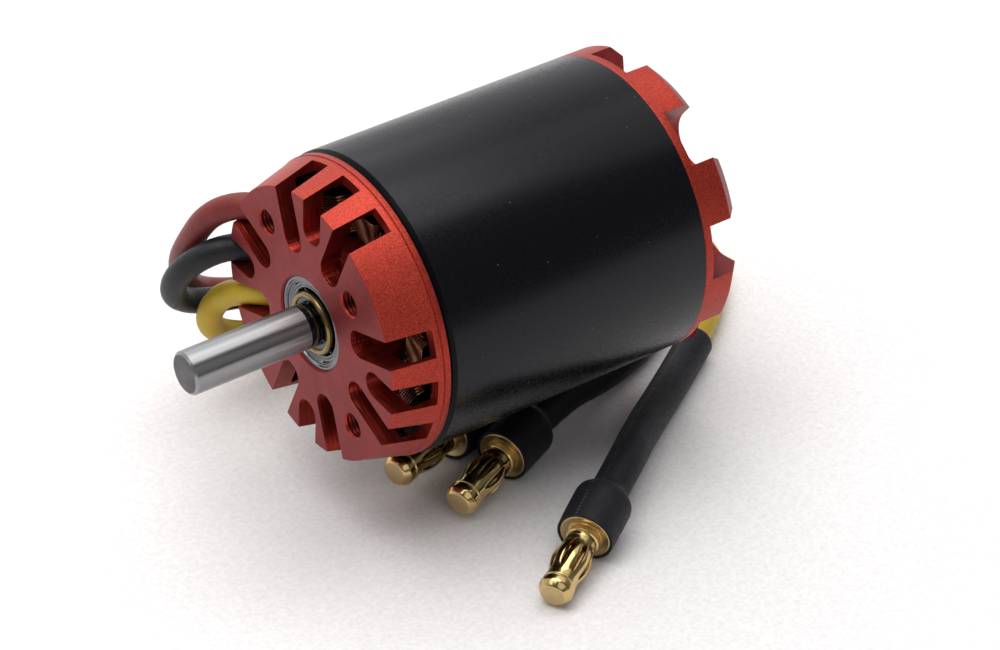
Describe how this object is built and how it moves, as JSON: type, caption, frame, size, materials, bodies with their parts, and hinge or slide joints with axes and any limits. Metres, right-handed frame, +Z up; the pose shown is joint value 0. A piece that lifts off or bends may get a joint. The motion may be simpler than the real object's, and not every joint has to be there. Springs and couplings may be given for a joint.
{
  "type": "brushless outrunner motor",
  "caption": "Outrunner motor with a slotted front cap, a turning can and rear cap on a round shaft, and sleeved leads that end in bullet plugs.",
  "frame": {"origin": "centre of the front mounting face, on the shaft's axis", "axes": "+X along the shaft from the front face to the rear cap, +Z up; the leads leave the front cap on the +Y side"},
  "size_m": [0.0999, 0.0776, 0.0505],
  "materials": {
    "red_anodised": "matte bead-blasted, anodised red",
    "machined_aluminium": "machined",
    "core_steel": "laminated, dark",
    "insulator": "matte",
    "bearing_steel": "polished",
    "brass_ring": "polished",
    "shaft_steel": "ground",
    "black_steel": "satin black",
    "screw_steel": "blackened",
    "copper": "enamelled winding",
    "magnet": "nickel plated",
    "silicone_black": "silicone, slight sheen",
    "silicone_red": "silicone, slight sheen",
    "silicone_yellow": "silicone, slight sheen",
    "heat_shrink": "matte",
    "gold": "gold plated"
  },
  "bodies": {
    "stator": {"front_cap": "red_anodised", "bearing_tube": "machined_aluminium", "stator_core": "core_steel", "front_insulator": "insulator", "rear_insulator": "insulator", "coil_01": "copper", "coil_02": "copper", "coil_03": "copper", "coil_04": "copper", "coil_05": "copper", "coil_06": "copper", "coil_07": "copper", "coil_08": "copper", "coil_09": "copper", "coil_10": "copper", "coil_11": "copper", "coil_12": "copper", "front_bearing_outer_ring": "bearing_steel", "front_bearing_shield": "bearing_steel", "rear_bearing_outer_ring": "bearing_steel", "lead_black": "silicone_black", "sleeve_black": "heat_shrink", "plug_body_black": "gold", "plug_spring_black": "gold", "winding_tail_black": "copper", "lead_red": "silicone_red", "sleeve_red": "heat_shrink", "plug_body_red": "gold", "plug_spring_red": "gold", "winding_tail_red": "copper", "lead_yellow": "silicone_yellow", "sleeve_yellow": "heat_shrink", "plug_body_yellow": "gold", "plug_spring_yellow": "gold", "winding_tail_yellow": "copper"},
    "rotor": {"shaft": "shaft_steel", "rotor_can": "black_steel", "magnet_01": "magnet", "magnet_02": "magnet", "magnet_03": "magnet", "magnet_04": "magnet", "magnet_05": "magnet", "magnet_06": "magnet", "magnet_07": "magnet", "magnet_08": "magnet", "magnet_09": "magnet", "magnet_10": "magnet", "magnet_11": "magnet", "magnet_12": "magnet", "magnet_13": "magnet", "magnet_14": "magnet", "rear_cap": "red_anodised", "front_bearing_inner_ring": "bearing_steel", "rear_bearing_inner_ring": "bearing_steel", "front_slinger_ring": "brass_ring", "rear_spacer": "brass_ring", "grub_screws": "screw_steel"},
    "front_ball_ring": {"front_bearing_balls": "bearing_steel"},
    "rear_ball_ring": {"rear_bearing_balls": "bearing_steel"}
  },
  "joints": [
    {"name": "rotor_spin", "type": "hinge", "parent": "stator", "child": "rotor", "pos_m": [0, 0, 0], "axis": [1, 0, 0], "continuous": true},
    {"name": "front_balls_orbit", "type": "hinge", "parent": "stator", "child": "front_ball_ring", "pos_m": [0, 0, 0], "axis": [1, 0, 0], "continuous": true},
    {"name": "rear_balls_orbit", "type": "hinge", "parent": "stator", "child": "rear_ball_ring", "pos_m": [0, 0, 0], "axis": [1, 0, 0], "continuous": true}
  ],
  "couplings": [
    {"joint": "front_balls_orbit", "follows": "rotor_spin", "ratio": 0.39},
    {"joint": "rear_balls_orbit", "follows": "rotor_spin", "ratio": 0.39}
  ]
}
